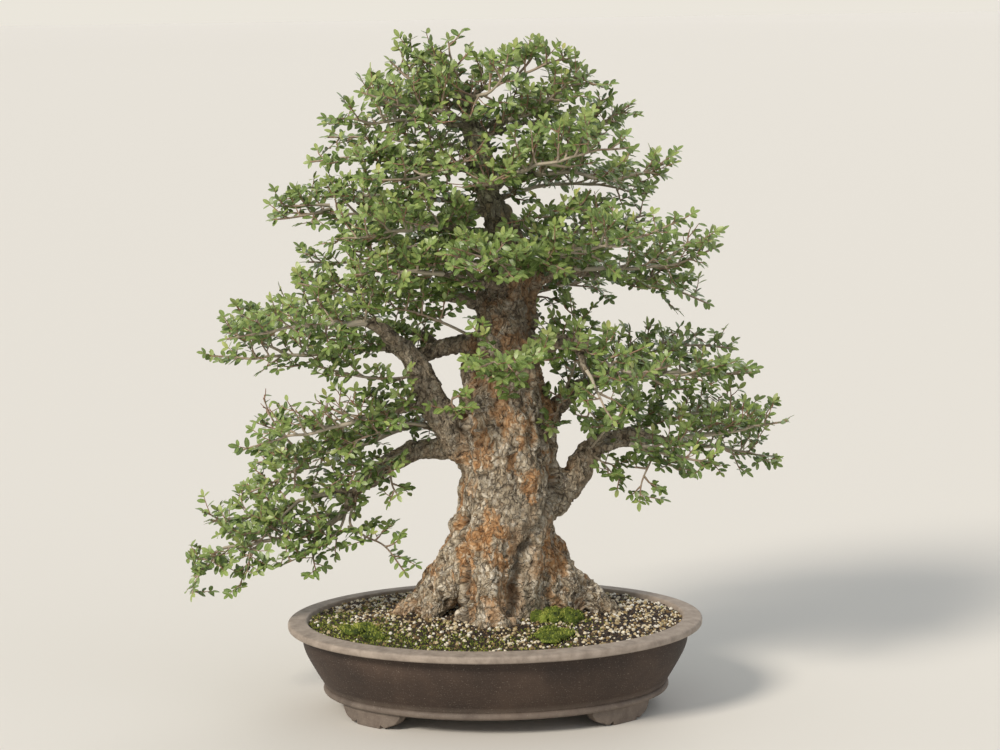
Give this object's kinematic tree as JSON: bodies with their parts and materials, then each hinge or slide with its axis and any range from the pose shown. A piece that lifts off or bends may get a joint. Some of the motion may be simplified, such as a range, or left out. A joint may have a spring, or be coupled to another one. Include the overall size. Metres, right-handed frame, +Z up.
{
  "type": "chinese elm bonsai",
  "caption": "Chinese elm bonsai: thick flaring trunk with spreading leafy sprays, growing from mossed soil in a shallow oval clay pot on cloud-shaped feet.",
  "frame": {"origin": "on the ground under the middle of the pot", "axes": "+Z up along the tree's height, front of the tree faces -Y, +X along the pot's length to the viewer's right"},
  "size_m": [0.6592, 0.3828, 0.7431],
  "materials": {
    "clay": "unglazed, matt grey-brown",
    "screen": "moulded black mesh",
    "soil": "granular bonsai soil, dark with pale pumice grains",
    "moss": "short moss, matt",
    "bark": "flaking elm bark, matt",
    "leaf": "small leaves, slightly glossy above"
  },
  "bodies": {
    "root": {"pot": "clay", "drain_screen_left": "screen", "drain_screen_right": "screen", "soil": "soil", "moss_by_root": "moss", "moss_front": "moss", "moss_left": "moss", "trunk": "bark", "spray_low_left_drop": "leaf", "spray_low_left_rise": "leaf", "spray_low_left_front": "leaf", "spray_low_left_back": "leaf", "spray_left_main": "leaf", "spray_left_front": "leaf", "spray_left_back": "leaf", "spray_left_upper_main": "leaf", "spray_left_upper_front": "leaf", "spray_left_upper_back": "leaf", "spray_left_high_main": "leaf", "spray_left_high_front": "leaf", "spray_left_high_back": "leaf", "spray_left_crown_main": "leaf", "spray_left_crown_front": "leaf", "spray_left_crown_back": "leaf", "spray_left_peak_main": "leaf", "spray_left_peak_front": "leaf", "spray_left_peak_back": "leaf", "spray_apex_left": "leaf", "spray_apex_top": "leaf", "spray_apex_right": "leaf", "spray_apex_front": "leaf", "spray_right_peak_main": "leaf", "spray_right_peak_low": "leaf", "spray_right_peak_back": "leaf", "spray_right_crown_main": "leaf", "spray_right_crown_front": "leaf", "spray_right_crown_back": "leaf", "spray_right_main": "leaf", "spray_right_droop": "leaf", "spray_right_front": "leaf", "spray_right_back": "leaf", "spray_low_right_white": "leaf", "spray_low_right_hang": "leaf", "spray_low_right_main": "leaf", "spray_low_right_back": "leaf", "spray_lowest_right_main": "leaf", "spray_lowest_right_front": "leaf", "spray_lowest_right_tip": "leaf", "spray_lowest_right_back": "leaf", "spray_front_low": "leaf", "spray_front_mid": "leaf", "spray_front_high": "leaf", "spray_back_low": "leaf", "spray_back_middle": "leaf", "spray_back_right": "leaf", "spray_back_left": "leaf"}
  },
  "joints": []
}
